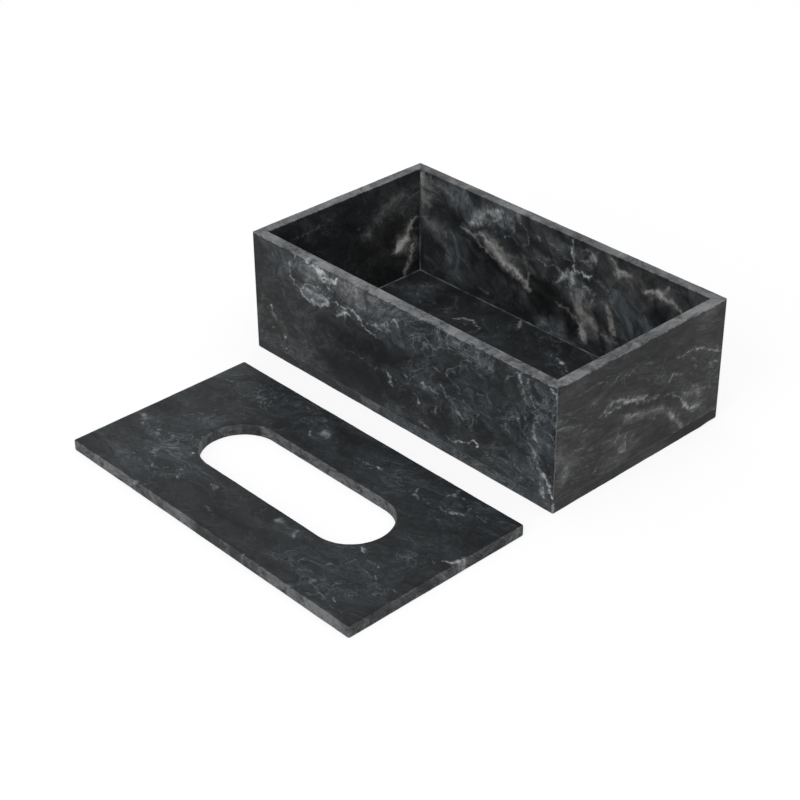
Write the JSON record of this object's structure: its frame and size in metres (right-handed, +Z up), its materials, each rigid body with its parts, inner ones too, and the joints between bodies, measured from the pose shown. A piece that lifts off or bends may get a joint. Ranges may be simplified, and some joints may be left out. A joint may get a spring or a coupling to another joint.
{
  "type": "tissue box",
  "caption": "Open rectangular tissue box in black veined marble, with a loose drop-in lid that has a long rounded slot, lying beside it.",
  "frame": {"origin": "centre of the box's underside, on the surface that the box and its lid both lie on", "axes": "+X along the box's long side to its right end, +Y to its back, +Z up"},
  "size_m": [0.2523, 0.2902, 0.08],
  "materials": {
    "base_marble": "polished black marble",
    "wall_marble": "polished black marble with grey and white veins",
    "lid_marble": "polished black marble with pale flecks, honed edges",
    "stone_adhesive": "set grey epoxy"
  },
  "bodies": {
    "box": {"base_slab": "base_marble", "front_wall_slab": "wall_marble", "back_wall_slab": "wall_marble", "left_end_slab": "wall_marble", "right_end_slab": "wall_marble", "base_joint_glue": "stone_adhesive", "corner_joint_glue": "stone_adhesive", "floor_glue_bead": "stone_adhesive", "corner_glue_beads": "stone_adhesive"},
    "lid": {"lid_slab": "lid_marble"}
  },
  "joints": [
    {"name": "lid_lift", "type": "slide", "parent": "box", "child": "lid", "axis": [0, 0, 1], "range_m": [0, 0.11]}
  ]
}
